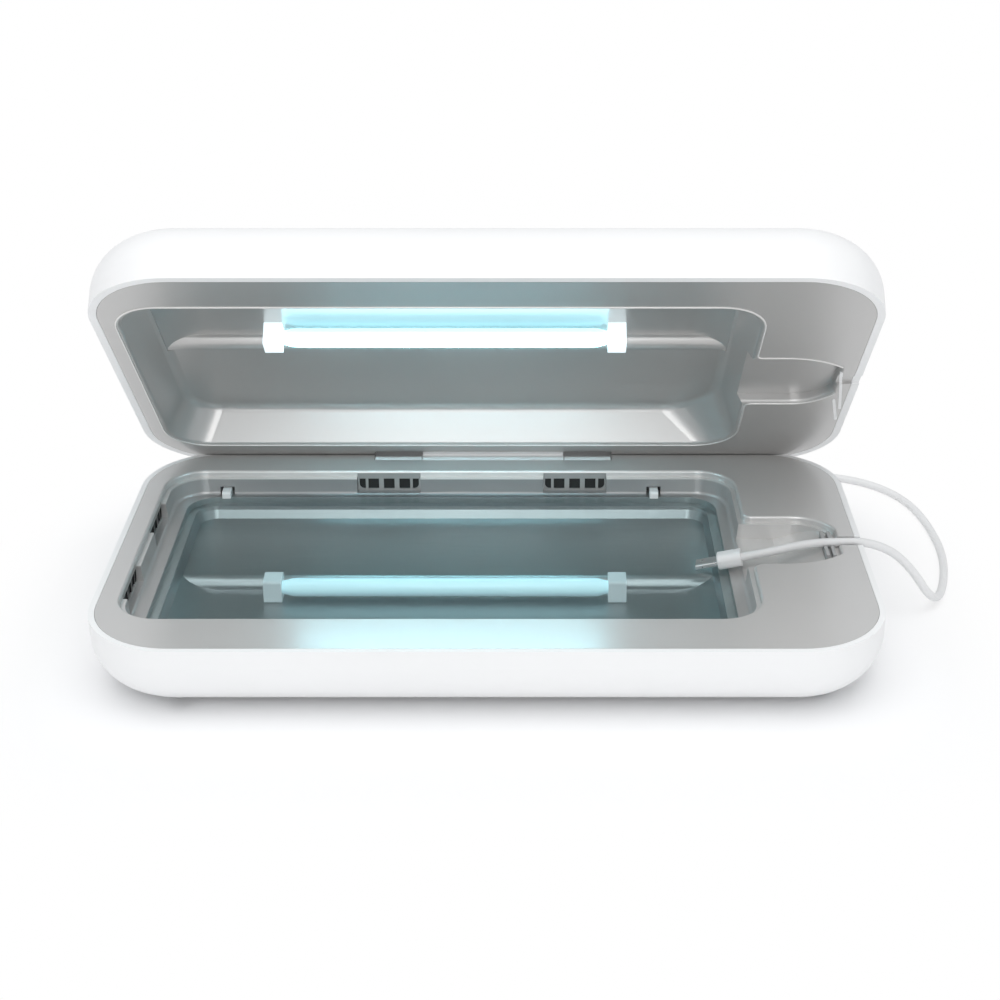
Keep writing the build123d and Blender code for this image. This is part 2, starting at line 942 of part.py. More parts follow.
def make_lid_liner():
    rim = raise_face(outer_plan(lid_wall + seam, lid_level), lid_level, lid_level + rim_thickness)
    outer_foot = lid_floor_plan(liner_wall, lid_ground + liner_wall)
    outside = loft([chamber_plan(liner_wall, lid_level), outer_foot], ruled=True)
    left = chamber_left + lid_end_inset
    right = chamber_right - lid_end_inset
    front = chamber_front + lid_front_inset + lid_floor_round
    bed_cover = block(
        left,
        right,
        front - liner_wall,
        step_front + step_height + liner_wall,
        lid_ground,
        upper_bed + lid_floor_thickness,
    )
    channel_top = lid_level + lid_channel_depth + channel_floor_wall
    channel_cover = raise_face(
        channel_plan(liner_wall, lid_level, chamber_right - chamber_corner),
        lid_level,
        channel_top,
    )
    liner = rim + outside + bed_cover + channel_cover
    liner -= lid_hollow()
    rim_face = liner.faces().filter_by(Plane.XY).sort_by(Axis.Z)[0]
    liner = round_inner_edge(liner, rim_face, lid_edge_round)
    liner -= trough(left, right, front, lid_ground, upper_bed)
    liner -= notch_cut(lid_level - seam, lid_level + lid_notch_depth)
    for strip in lid_strips(strip_play):
        liner -= strip
    # room for the hinge
    end = side_knuckle_end + hinge_clearance
    liner -= block(
        -end,
        end,
        hinge_y - arm_plate_reach - arm_plate_gap,
        outer_width,
        lid_level - seam,
        lid_level + rim_thickness + seam,
    )
    for place in lid_pin_places:
        top = lid_level + rim_thickness + lid_pin_length
        liner += post(place, lid_level + rim_thickness / 2, top, lid_pin_radius)
    return liner


def lid_hollow():
    """The lid's recess, leaning in towards its floor, and the shallow cable channel."""
    recess = loft([chamber_plan(0, lid_level), lid_floor_plan(0, lid_ground)], ruled=True)
    recess = fillet(recess.faces().sort_by(Axis.Z)[-1].edges(), lid_floor_round)
    outline = channel_plan(0, lid_level, chamber_right - chamber_corner)
    tips = [corner for corner in outline.vertices() if corner.X > funnel_end - seam]
    outline = fillet(tips, tip_round)
    return recess + raise_face(outline, lid_level, lid_level + lid_channel_depth)


def make_lid_shell():
    tub = shell(lid_level, lid_top, lid_wall, True)
    for place in lid_pin_places:
        low = lid_level + rim_thickness
        boss = post(place, low, lid_top - lid_wall / 2, lid_boss_radius)
        hole = post(
            place,
            low - seam,
            lid_level + rim_thickness + lid_pin_length + seam,
            lid_pin_radius + lid_pin_play,
        )
        tub = tub + boss - hole
    hull = raise_face(outer_plan(0, 0), 0, lid_top - lid_level)
    hull = fillet(hull.faces().sort_by(Axis.Z)[0].edges(), edge_round)
    tub = tub & (Pos(0, 0, lid_top) * mirror(hull, Plane.XY))
    # hinge arm: a plate in the rim's hinge notch, a neck and the middle knuckle
    half = centre_knuckle_half
    front = hinge_y - arm_plate_reach
    inner_rear = rear_edge - lid_wall / 2
    plate_top = lid_level + arm_plate_height
    tub += block(-half, half, front, inner_rear, lid_level, plate_top)
    neck_front = hinge_y - sqrt(
        (knuckle_radius + hinge_clearance) ** 2 - hinge_drop**2
    ) + hinge_clearance
    tub += block(-half, half, neck_front, hinge_y + knuckle_radius, hinge_z, plate_top)
    tub += rod(-half, half, hinge_y, hinge_z, knuckle_radius)
    tub -= rod(-2 * half, 2 * half, hinge_y, hinge_z, pin_radius + pin_running_play)
    tub -= notch_cut(lid_level - seam, lid_level + lid_notch_depth)
    return tub


def make_upper_lamp():
    return lamp(upper_bed, -1)


def make_lid_magnet():
    length, width, height = magnet_size
    x, y = sensor_place
    low = lid_level + rim_thickness
    return block(x - length / 2, x + length / 2, y - width / 2, y + width / 2, low, low + height)


def lid_strips(play):
    """Two slim bars that lie in the lid's rim beside the notch, leaning towards its edge."""
    strips = []
    for start_y, end_y, start_inset in (
        (long_strip_start, long_strip_end, long_strip_start_inset),
        (short_strip_start, short_strip_end, short_strip_start_inset),
    ):
        start = Vector(right_end - start_inset, start_y)
        run = Vector(right_end - strip_end_inset, end_y) - start
        outline = Pos(run.length / 2, 0) * SlotOverall(
            run.length + 2 * play, strip_width + 2 * play
        )
        level = lid_level - strip_proud
        flat = Pos(start.X, start.Y, level) * Rot(0, 0, degrees(atan2(run.Y, run.X))) * outline
        strips.append(raise_face(flat, level, lid_level + strip_seat))
    return strips


def make_lid_seal():
    """The strips, with the notch left free for the cable."""
    notch = notch_cut(lid_level - 2 * strip_proud, lid_level + lid_notch_depth)
    return together([strip - notch for strip in lid_strips(0)])


# ---- charging lead ----
# The route's points, chosen by hand: out of the plug on the glass, along the channel,
# out of the notch, down to the table, round the right end and into the rear port.
cable_points = [
    (75.3, -3.9, 19.2),
    (82.8, -4.9, 21.2),
    (94.0, -0.8, 21.9),
    (102.8, 0.45, 22.05),
    (115.3, 0.45, 22.05),
    (125.5, -0.9, 16.5),
    (135.7, -4.0, 1.35),
    (144.7, 27.0, 1.35),
    (143.9, 56.5, 1.35),
    (138.8, 75.5, 1.35),
    (127.5, 88.3, 1.35),
    (110.5, 93.5, 1.35),
    (94.0, 98.2, 2.0),
    (82.0, 96.0, 7.2),
    (80.0, 87.0, 12.5),
    (80.0, 80.0, 12.5),
]


def cable_route():
    return [Vector(*point) for point in cable_points]


def corner_radii(points):
    """The radius at each inner point: as large as its two runs allow."""
    radii = []
    for before, here, after in zip(points, points[1:], points[2:]):
        turn = (here - before).get_angle(after - here)
        shorter = min((here - before).length, (after - here).length)
        radii.append(0.45 * shorter / tan(radians(turn / 2)))
    return radii


def make_cable():
    points = cable_route()
    radii = corner_radii(points)
    path = FilletPolyline(*points, radius=radii)
    start = Plane(origin=points[0], z_dir=points[1] - points[0])
    tube = sweep(start * Circle(cable_diameter / 2), path=path)
    ratio = tube.volume / (Circle(cable_diameter / 2).area * path.length)
    print("cable length", round(path.length, 1), "volume ratio", round(ratio, 4))
    print("cable radii", [round(radius, 1) for radius in radii])
    return tube


def plug_frame(origin, towards):
    """A frame at a cable's end whose Z looks away from the cable, with Y kept level."""
    away = (origin - towards).normalized()
    level = Vector(0, 0, 1).cross(away).normalized()
    return Plane(origin=origin, x_dir=level, z_dir=away)


def make_device_plug():
    """Overmould and tongue of the plug that goes into the phone."""
    points = cable_route()
    frame = plug_frame(points[0], points[1])
    body = extrude(RectangleRounded(plug_width, plug_thickness, plug_side_round), plug_length)
    body = fillet(body.faces().sort_by(Axis.Z)[-1].edges(), plug_end_round)
    tongue = extrude(RectangleRounded(tongue_width, tongue_thickness, tongue_round), tongue_length)
    return frame * body, frame * Pos(0, 0, plug_length) * tongue


def make_supply_plug():
    """Plug in the rear port, with a tapered strain relief towards the cable."""
    points = cable_route()
    tail = points[-1]
    body_rear = tail.Y - relief_length
    middle = tail.Z
    body = block(
        lead_port_x - supply_plug_width / 2,
        lead_port_x + supply_plug_width / 2,
        rear_edge,
        body_rear,
        middle - supply_plug_height / 2,
        middle + supply_plug_height / 2,
    )
    body = fillet(body.edges().filter_by(Axis.Y), supply_plug_height / 4)
    blade = block(
        lead_port_x - lead_port_width / 2 + 2 * lead_port_wall,
        lead_port_x + lead_port_width / 2 - 2 * lead_port_wall,
        rear_edge - lead_port_depth / 2,
        rear_edge,
        middle - lead_port_height / 2 + 2 * lead_port_wall,
        middle + lead_port_height / 2 - 2 * lead_port_wall,
    )
    length = tail.Y - body_rear
    cone = Cone(relief_radius, cable_diameter / 2, length)
    relief = Pos(lead_port_x, body_rear + length / 2, middle) * Rot(-90, 0, 0) * cone
    return body + blade, relief


# ---- build, open the lid, centre and write ----
def build_parts():
    lower_tube, lower_caps = make_lower_lamp()
    upper_tube, upper_caps = make_upper_lamp()
    plug_body, plug_tongue = make_device_plug()
    supply_plug, supply_relief = make_supply_plug()
    base = {
        "base_shell": make_base_shell(),
        "base_liner": make_base_liner(),
        "glass_plate": make_glass_plate(),
        "plate_clips": make_plate_clips(),
        "lower_reflector": make_lower_reflector(),
        "lower_lamp_tube": lower_tube,
        "lower_lamp_caps": together(lower_caps),
        "rear_sound_grilles": make_rear_grilles(),
        "side_sound_grilles": make_side_grilles(),
        "control_board": make_control_board(),
        "board_screws": make_board_screws(),
        "board_parts": make_board_parts(),
        "lamp_driver": make_lamp_driver(),
        "port_board": make_port_board(),
        "power_jack": make_power_jack(),
        "lead_port": make_lead_port(),
        "lid_sensor": make_lid_sensor(),
        "base_cable_seal": make_base_seal(),
        "hinge_pin": make_hinge_pin(),
        "rubber_feet": make_feet(),
        "base_screws": make_base_screws(),
    }
    lid = {
        "lid_shell": make_lid_shell(),
        "lid_liner": make_lid_liner(),
        "upper_lamp_tube": upper_tube,
        "upper_lamp_caps": together(upper_caps),
        "lid_magnet": make_lid_magnet(),
        "lid_cable_seal": make_lid_seal(),
    }
    lead = {
        "charging_cable": make_cable(),
        "device_plug": plug_body,
        "device_plug_tongue": plug_tongue,
        "supply_plug": supply_plug,
        "supply_plug_relief": supply_relief,
    }
    opened = {name: piece.rotate(across, -open_angle) for name, piece in lid.items()}
    return base, opened, lead


def main():
    base, lid, lead = build_parts()
    boxes = [piece.bounding_box() for piece in (*base.values(), *lid.values())]
    front = min(box.min.Y for box in boxes)
    rear = max(box.max.Y for box in boxes)
    shift = -(front + rear) / 2
    print("shift in Y", round(shift, 4), "hinge at", round(hinge_y + shift, 4), round(hinge_z, 4))
    os.makedirs("parts", exist_ok=True)
    for name, piece in (*base.items(), *lid.items(), *lead.items()):
        export_step(Pos(0, shift, 0) * piece, f"parts/{name}.step")


main()
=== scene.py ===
# %% [markdown]
# This is a box that cleans small things with ultraviolet light. It opens like a clam: a white
# base and a white lid, each with a silver lining and a thin lamp, and a glass plate between the
# two lamps. It could be modelled again in Blender, but then two models would have to agree. So
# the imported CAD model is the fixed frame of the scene, and the script adds what solids can't
# say: the finishes, the light of the lamps, and the small fittings that show from close by.

import math

import bmesh
import bpy
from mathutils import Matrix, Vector


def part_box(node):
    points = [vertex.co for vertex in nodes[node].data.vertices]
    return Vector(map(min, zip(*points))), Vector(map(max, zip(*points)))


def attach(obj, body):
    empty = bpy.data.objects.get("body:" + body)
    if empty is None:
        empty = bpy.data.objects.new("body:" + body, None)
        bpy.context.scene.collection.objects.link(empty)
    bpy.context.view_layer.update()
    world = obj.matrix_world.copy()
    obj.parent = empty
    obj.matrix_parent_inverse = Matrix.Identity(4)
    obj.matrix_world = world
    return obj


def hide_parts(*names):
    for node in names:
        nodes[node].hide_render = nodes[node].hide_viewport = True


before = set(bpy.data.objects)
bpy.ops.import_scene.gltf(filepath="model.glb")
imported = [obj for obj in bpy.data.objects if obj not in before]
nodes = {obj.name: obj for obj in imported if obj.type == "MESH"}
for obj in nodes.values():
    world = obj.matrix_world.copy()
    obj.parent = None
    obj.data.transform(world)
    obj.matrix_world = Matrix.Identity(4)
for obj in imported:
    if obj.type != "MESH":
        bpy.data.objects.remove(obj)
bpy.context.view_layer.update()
MM = 0.001
print("nodes", len(nodes))

# %% [markdown]
# The camera comes first, because every later choice is judged through it. Its place could be
# found by trial, but here it was worked out from the corners of the silver rims. It stands half
# a metre in front of the middle of the box and a little to the right, and looks down by 25.5
# degrees. A small shift moves the picture sideways without turning the camera.

# %% Camera
IMAGE_WIDTH = 1000
FOCAL_PIXELS = 1882
CENTRE_PIXEL = 527
SENSOR_WIDTH = 36.0
NEAREST = 0.01
LOOK_DOWN = 25.51
CAMERA_PLACE = Vector((11.2, -510.1, 277.0)) * MM


def placed(name, data):
    """Put a mesh, curve, lamp or camera into the scene as an object."""
    item = bpy.data.objects.new(name, data)
    bpy.context.scene.collection.objects.link(item)
    return item


lens = bpy.data.cameras.new("photo_camera")
lens.sensor_width = SENSOR_WIDTH
lens.lens = FOCAL_PIXELS / IMAGE_WIDTH * SENSOR_WIDTH
lens.shift_x = (IMAGE_WIDTH / 2 - CENTRE_PIXEL) / IMAGE_WIDTH
lens.clip_start = NEAREST
camera = placed("photo_camera", lens)
camera.location = CAMERA_PLACE
camera.rotation_euler = (math.radians(90 - LOOK_DOWN), 0, 0)
bpy.context.scene.camera = camera
print("lens", round(lens.lens, 2), "mm, shift", lens.shift_x)

# %% [markdown]
# A finish is a tree of shader nodes. Trees can be drawn by hand in the Shader Editor, but a sum
# is easier to read and change. `Wire` wraps one output socket of a node and knows what to do
# with + - * / and **, so that `0.3 + speckle * 0.1` adds its two Math nodes by itself.

# %% Sockets that can be added up
class Wire:
    """One output socket that can be used in arithmetic."""

    def __init__(self, finish, socket):
        self.finish = finish
        self.socket = socket

    def maths(self, operation, first, second):
        return self.finish.node("Math", {"operation": operation}, {0: first, 1: second})

    def __add__(self, other):
        return self.maths("ADD", self, other)

    def __radd__(self, other):
        return self.maths("ADD", other, self)

    def __sub__(self, other):
        return self.maths("SUBTRACT", self, other)

    def __rsub__(self, other):
        return self.maths("SUBTRACT", other, self)

    def __mul__(self, other):
        return self.maths("MULTIPLY", self, other)

    def __rmul__(self, other):
        return self.maths("MULTIPLY", other, self)

    def __truediv__(self, other):
        return self.maths("DIVIDE", self, other)

    def __pow__(self, other):
        return self.maths("POWER", self, other)

    def above(self, level):
        return self.maths("GREATER_THAN", self, level)

    def at_most(self, level):
        return self.maths("MINIMUM", self, level)

    def at_least(self, level):
        return self.maths("MAXIMUM", self, level)


print("sockets ready")

# %% [markdown]
# `Finish` holds one tree. Its `node` method adds any node from three things: its type, its
# settings, which come first because they can change the sockets, and its inputs, which are
# plain numbers or wires. The other methods are short names for the nodes that come up most.
# Colours and vectors have nodes of their own, because a Math node would turn them grey. A
# number that is the same all over a surface stays on its socket, where an export can find it.

# %% One finish
class Finish:
    """The shader tree of one material, or of the world if that is given as its holder."""

    def __init__(self, name, holder=None, output="OutputMaterial"):
        self.material = holder or bpy.data.materials.new(name)
        self.material.use_nodes = True
        self.tree = self.material.node_tree
        self.tree.nodes.clear()
        self.output = self.tree.nodes.new("ShaderNode" + output)

    def feed(self, socket, value):
        if isinstance(value, Wire):
            self.tree.links.new(value.socket, socket)
        else:
            socket.default_value = value

    def node(self, kind, settings=None, inputs=None, output=0):
        made = self.tree.nodes.new("ShaderNode" + kind)
        for name, value in (settings or {}).items():
            setattr(made, name, value)
        for key, value in (inputs or {}).items():
            self.feed(made.inputs[key], value)
        return Wire(self, made.outputs[output])

    def place(self):
        return self.node("TexCoord", output="Object")

    def axis(self, name):
        """The X, Y or Z of the point being shaded, in metres in the shared frame."""
        return self.node("SeparateXYZ", {}, {0: self.place()}, output=name)

    def noise(self, scale, detail=2.0, vector=None):
        inputs = {"Scale": scale, "Detail": detail, "Vector": vector or self.place()}
        return self.node("TexNoise", {}, inputs)

    def stretch(self, x, y, z):
        inputs = {"Vector": self.place(), "Scale": (x, y, z)}
        return self.node("Mapping", {}, inputs)

    def bump(self, height, strength, distance):
        inputs = {"Height": height, "Strength": strength, "Distance": distance}
        return self.node("Bump", {}, inputs)

    def vectors(self, operation, *values, output="Vector"):
        inputs = dict(enumerate(values))
        return self.node("VectorMath", {"operation": operation}, inputs, output)

    def blend_colours(self, factor, first, second):
        # the Mix node has one set of sockets for each kind of data: 6 and 7 are its colours
        inputs = {0: factor, 6: first, 7: second}
        return self.node("Mix", {"data_type": "RGBA"}, inputs, output=2)

    def blend_shaders(self, factor, first, second):
        return self.node("MixShader", {}, {0: factor, 1: first, 2: second})

    def surface(self, **values):
        inputs = {name.replace("_", " "): value for name, value in values.items()}
        self.show(self.node("BsdfPrincipled", {}, inputs))

    def show(self, wire):
        self.tree.links.new(wire.socket, self.output.inputs["Surface"])


print("finish ready")

# %% [markdown]
# Nearly everything here is white, silver or black, so colours are given as a grey level with a
# slight tint. The CAD nodes arrive with one plain material each. Their meshes stay as they are,
# and only that material is swapped for a finish, which keeps the solids the single source of
# shape.

# %% Greys and dressing
def grey(level, tint=0.0):
    """A colour near grey; a positive tint makes it a little cooler."""
    return (level * (1 - tint), level, level * (1 + tint), 1.0)


def dress(finish, *names):
    """Give CAD nodes this finish in place of their plain one."""
    for name in names:
        mesh = nodes[name].data
        mesh.materials.clear()
        mesh.materials.append(finish.material)


print("helpers ready")

# %% [markdown]
# The outer shells are white plastic from a mould whose wall was etched to a very fine grain. The
# grain could be real geometry, but it is far too fine to see as dots and only softens the
# reflections. So it is a small bump and a slow change of roughness. The white stays under full
# brightness, or the rounded edges would vanish in the light.

# %% White shells
white_shell = Finish("white_shell")
grain = white_shell.noise(scale=2600, detail=3.0)
drift = white_shell.noise(scale=14)
white_shell.surface(
    Base_Color=white_shell.blend_colours(drift, grey(0.87), grey(0.91)),
    Roughness=0.34 + drift * 0.12,
    Normal=white_shell.bump(grain, strength=0.12, distance=0.00006),
)
dress(white_shell, "base_shell", "lid_shell")
print("shells dressed")

# %% [markdown]
# The linings are plastic with a satin silver coat, which spreads the lamps' light all round.
# Such a coat is fine metal flake under lacquer. A plain metal would mirror too sharply, so the
# coat is half metal under a clear layer, with a fast noise for the flake, which tips the normal a
# little, and a slow one for the unevenness of the spray.

# %% Silver coat
SILVER_TINT = -0.015


def silver_coat(name, low, high, metallic, shade=None):
    """Silver lacquer between two tones; shade may change the tone from place to place."""
    coat = Finish(name)
    flake = coat.noise(scale=5200, detail=1.0)
    spray = coat.noise(scale=22, detail=3.0)
    tone = coat.blend_colours(spray, grey(low, SILVER_TINT), grey(high, SILVER_TINT))
    if shade:
        tone = shade(coat, tone)
    coat.surface(
        Base_Color=tone,
        Metallic=metallic,
        Roughness=0.26 + spray * 0.08 + flake * 0.05,
        Normal=coat.bump(flake, strength=0.10, distance=0.00004),
        Coat_Weight=0.5,
        Coat_Roughness=0.16,
    )
    return coat


lid_silver = silver_coat("lid_silver", 0.51, 0.57, 0.6)
dress(lid_silver, "lid_liner")
print("lid lining dressed")

# %% [markdown]
# Little light reaches the steep walls of the chamber, so below the ledge the base's lining is
# painted darker than its rim as painted shade, most in the middle of the long walls. Two
# materials would meet in a hard line, and the solid is one piece. A mask made from the point's
# own place darkens the coat smoothly: it depends on the height, on the chamber's end and on the
# distance from its middle.

# %% Base lining
LEDGE_LEVEL = 20.5 * MM
LEDGE_MARGIN = 0.2 * MM
CHAMBER_END = 77.6 * MM
CHAMBER_MIDDLE = -13.2 * MM
CHAMBER_HALF = 88.0 * MM
FADE_PER_DEPTH = 2500
FADE_PER_LENGTH = 400
ENDS_SHADE_CUT = 0.6
# the colour of the painted shade on the chamber's deep walls
WALL_SHADE = grey(0.24, 0.02)


def shade_deep_walls(coat, tone):
    """Painted shade: darken the coat below the ledge, inside the chamber, and less at its two
    ends.
    """
    depth = LEDGE_LEVEL - LEDGE_MARGIN - coat.axis("Z")
    inside = CHAMBER_END - coat.axis("X")
    below = (depth * FADE_PER_DEPTH).at_most(1.0).at_least(0.0)
    deep = below * (inside * FADE_PER_LENGTH).at_most(1.0).at_least(0.0)
    off_middle = (coat.axis("X") - CHAMBER_MIDDLE) / CHAMBER_HALF
    ends = (off_middle**4).at_most(1.0)
    return coat.blend_colours(deep * (1 - ends * ENDS_SHADE_CUT), tone, WALL_SHADE)


base_silver = silver_coat("base_silver", 0.64, 0.70, 0.5, shade_deep_walls)
dress(base_silver, "base_liner")
print("base lining dressed")

# %% [markdown]
# Four slotted strips are set into the chamber's walls. The two at the back have silver ribs. On
# the two at the left end the ribs are painted black between the bottom and the top of the holes,
# as painted shade, so each reads as one dark slot. The black could be a second material on
# chosen faces, but a band between two levels needs no choice of faces and works on any mesh.

# %% Grilles
HOLE_FLOOR = 16.2 * MM
HOLE_TOP = 19.7 * MM
# black painted on the ribs: painted shade of the holes
RIB_SHADE_BLACK = grey(0.015)


def painted_shade_band(coat, tone):
    """Painted shade: black between the bottom and the top of the holes, the given tone elsewhere.
    """
    height = coat.axis("Z")
    band = height.above(HOLE_FLOOR) * (1 - height.above(HOLE_TOP))
    return coat.blend_colours(band, tone, RIB_SHADE_BLACK)


grille_silver = silver_coat("grille_silver", 0.30, 0.36, 0.5)
side_grille_silver = silver_coat("side_grille_silver", 0.30, 0.36, 0.3, painted_shade_band)
dress(grille_silver, "rear_sound_grilles")
dress(side_grille_silver, "side_sound_grilles")
print("grilles dressed")

# %% [markdown]
# Under the glass lies a pan of bright rolled aluminium, which throws the lower lamp's light up.
# Rolling leaves faint lines along the sheet. They could come from an anisotropic shader, but the
# pan is seen through glass and a stretched noise is enough: it is drawn out along the box before
# it tilts the normal.

# %% Reflector
bright_pan = Finish("bright_pan")
rolled = bright_pan.noise(scale=1.0, detail=3.0, vector=bright_pan.stretch(60, 2600, 2600))
bright_pan.surface(
    Base_Color=bright_pan.blend_colours(rolled, grey(0.42, 0.01), grey(0.52, 0.01)),
    Metallic=1.0,
    Roughness=0.26 + rolled * 0.14,
    Normal=bright_pan.bump(rolled, strength=0.15, distance=0.00005),
)
dress(bright_pan, "lower_reflector")
print("reflector dressed")

# %% [markdown]
# A plate of clear quartz glass lies over the lower lamp and lets its light through. A full glass
# shader would bend the view at the plate's edge into a black frame, which real ground edges
# don't show. A thin plate is better told as a clear film and a soft mirror, mixed by the slant
# of the view: nearly clear from above, a mirror from the side, and a little more where the plate
# was wiped.

# %% Glass plate
FILM_COLOUR = (0.92, 0.97, 0.975, 1)
FACE_SHINE = 0.03
SLANT_SHINE = 0.6
WIPED_SHINE = 0.02

plate_glass = Finish("plate_glass")
wiped = plate_glass.noise(scale=30, detail=4.0)
clear = plate_glass.node("BsdfTransparent", {}, {"Color": FILM_COLOUR})
mirror = plate_glass.node("BsdfGlossy", {}, {"Color": grey(0.80), "Roughness": 0.16})
slant = plate_glass.node("LayerWeight", {}, {"Blend": 0.5}, output="Facing")
shine = (slant**5 * SLANT_SHINE + FACE_SHINE + wiped * WIPED_SHINE).at_most(1.0)
plate_glass.show(plate_glass.blend_shaders(shine, clear, mirror))
dress(plate_glass, "glass_plate")
print("plate dressed")

# %% [markdown]
# Each lamp is a thin quartz tube that glows pale cyan. A lamp object inside a clear tube would be
# nearer to the physics, but slow and grainy. Here the tube's own surface gives the light. A tube
# that is equally bright all round would burn a hard white stripe into the lining close behind
# it, so it is bright towards the chamber and dim towards the lining. The side comes from the
# surface's own direction, so it turns with the lid.

# %% Lamp glow
UPPER_STRENGTH = 10.0
LOWER_STRENGTH = 0.4
OPEN_SIDE = (0.0, -0.263, -0.965)
UPWARD = (0.0, 0.0, 1.0)
DIM_FROM = -0.7
BRIGHT_FROM = 0.3
DIM_GLOW = (0.045, 0.105, 0.125, 1)
DEEP_CYAN = (0.42, 0.86, 1.0, 1)
PALE_CYAN = (0.50, 0.92, 1.0, 1)


def glowing(name, strength, front):
    """Bright where the surface faces front, dim where it faces the lining behind."""
    finish = Finish(name)
    along = finish.noise(scale=40, detail=1.0)
    normal = finish.node("TexCoord", output="Normal")
    towards = finish.vectors("DOT_PRODUCT", normal, front, output="Value")
    span = {"Value": towards, "From Min": DIM_FROM, "From Max": BRIGHT_FROM}
    lit = finish.node("MapRange", {}, span)
    glow = finish.blend_colours(along, DEEP_CYAN, PALE_CYAN)
    finish.surface(
        Base_Color=(0.85, 0.97, 1.0, 1),
        Roughness=0.12,
        Emission_Color=finish.blend_colours(lit, DIM_GLOW, glow),
        Emission_Strength=strength,
    )
    return finish


upper_glow = glowing("upper_lamp_glow", UPPER_STRENGTH, OPEN_SIDE)
lower_glow = glowing("lower_lamp_glow", LOWER_STRENGTH, UPWARD)
print("glow strengths", UPPER_STRENGTH, LOWER_STRENGTH)

# %% [markdown]
# The small fittings are meshes of the script's own. They could come from Blender's ready
# primitives, but a mesh that is written point by point has just the edges it needs. bmesh is
# the workbench for that: a build function puts points and faces on it, and the result becomes a
# mesh. The piece then rides on a body of the CAD model, so it moves when the lid moves.

# %% New meshes
SHARP_ANGLE = 40


def mesh_object(name, build, finish):
    """An object whose mesh is filled in by the build function."""
    shape = bmesh.new()
    build(shape)
    shape.normal_update()
    mesh = bpy.data.meshes.new(name)
    shape.to_mesh(mesh)
    shape.free()
    mesh.materials.append(finish.material)
    return placed(name, mesh)


def new_piece(name, build, finish, body, sharp_angle=SHARP_ANGLE):
    """A smooth mesh that rides on a body; edges over the angle, in degrees, stay sharp."""
    piece = mesh_object(name, build, finish)
    for face in piece.data.polygons:
        face.use_smooth = True
    piece.data.set_sharp_from_angle(angle=math.radians(sharp_angle))
    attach(piece, body)
    return piece


print("mesh helpers ready")

# %% [markdown]
# Tubes and pins are turned forms, as if cut on a lathe. A Screw modifier could turn a profile
# too, but writing the rings out shows what turning is: the same profile repeated round an axis,
# with each ring of points joined to the next by faces, and a cap at each end.

# %% Turned forms
def turned(profile, start, direction, steps=48):
    """A builder for a turned form: pairs of (distance along the axis, radius)."""
    axis = Vector(direction).normalized()
    side = axis.orthogonal().normalized()
    up = axis.cross(side)

    def build(shape):
        rings = []
        for distance, radius in profile:
            centre = Vector(start) + axis * distance
            ring = []
            for step in range(steps):
                turn = 2 * math.pi * step / steps
                spoke = side * math.cos(turn) + up * math.sin(turn)
                ring.append(shape.verts.new(centre + spoke * radius))
            rings.append(ring)
        for near, far in zip(rings, rings[1:]):
            for step in range(steps):
                after = (step + 1) % steps
                shape.faces.new((near[step], near[after], far[after], far[step]))
        shape.faces.new(list(reversed(rings[0])))
        shape.faces.new(rings[-1])

    return build


print("turning ready")

# %% [markdown]
# The glass of a lamp is melted and pinched at its ends, so the tube gets narrower there. The CAD
# tube is a plain rod, and a CAD mesh isn't changed, so a turned form of the same length takes
# its place. The solid is only hidden, and stays part of the CAD model.

# %% Lamp tubes
SHOULDER = 3.0 * MM
END_WIDTH = 0.72
NECK_WIDTH = 0.78
SHOULDER_WIDTH = 0.97


def lamp_tube(name, node, body, glow):
    """A tube with drawn-in ends, in the place of the CAD node that it stands for."""
    low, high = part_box(node)
    radius = (high.z - low.z) / 2
    length = high.x - low.x
    start = Vector((low.x, (low.y + high.y) / 2, (low.z + high.z) / 2))
    profile = [
        (0.0, radius * END_WIDTH),
        (SHOULDER * 0.35, radius * NECK_WIDTH),
        (SHOULDER, radius * SHOULDER_WIDTH),
        (SHOULDER * 1.5, radius),
        (length - SHOULDER * 1.5, radius),
        (length - SHOULDER, radius * SHOULDER_WIDTH),
        (length - SHOULDER * 0.35, radius * NECK_WIDTH),
        (length, radius * END_WIDTH),
    ]
    tube = new_piece(name, turned(profile, start, (1, 0, 0)), glow, body)
    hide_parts(node)
    return length


upper_length = lamp_tube("upper_lamp_lit_tube", "upper_lamp_tube", "lid", upper_glow)
lamp_tube("lower_lamp_lit_tube", "lower_lamp_tube", "base", lower_glow)
print("lamp length", round(upper_length / MM, 1), "mm")

# %% [markdown]
# Pale frosted blocks hold the ends of the tubes. The tube's light soaks into them, which real
# subsurface light could show at a high price in time. A weak glow of their own in nearly the
# same colour looks the same, and it is stronger on the upper lamp, which burns brighter.

# %% Lamp ends
UPPER_END_GLOW = 0.9
LOWER_END_GLOW = 0.15
SOAKED_DEEP = (0.72, 0.92, 1.0, 1)
SOAKED_PALE = (0.82, 0.96, 1.0, 1)


def frosted_end(name, glow):
    """Cloudy pale ceramic with a weak glow of its own."""
    finish = Finish(name)
    cloud = finish.noise(scale=90, detail=3.0)
    finish.surface(
        Base_Color=finish.blend_colours(cloud, grey(0.70, 0.01), grey(0.80, 0.01)),
        Roughness=0.28 + cloud * 0.15,
        Emission_Color=finish.blend_colours(cloud, SOAKED_DEEP, SOAKED_PALE),
        Emission_Strength=glow,
    )
    return finish


dress(frosted_end("upper_lamp_end", UPPER_END_GLOW), "upper_lamp_caps")
dress(frosted_end("lower_lamp_end", LOWER_END_GLOW), "lower_lamp_caps")
print("lamp ends dressed")

# %% [markdown]
# A slim bead runs round the lid's opening, just outside its rounded edge. It catches the light,
# and its silver is painted lighter than the lining's as a painted highlight, so it shows as a
# thin bright line. A brighter material on the edge would also whiten the notch beside it, so the
# bead is a piece of its own. Its path is drawn flat with the lid shut, from arcs that straight
# runs join, in millimetres. Each point is then turned open about the hinge, as the CAD lid is.

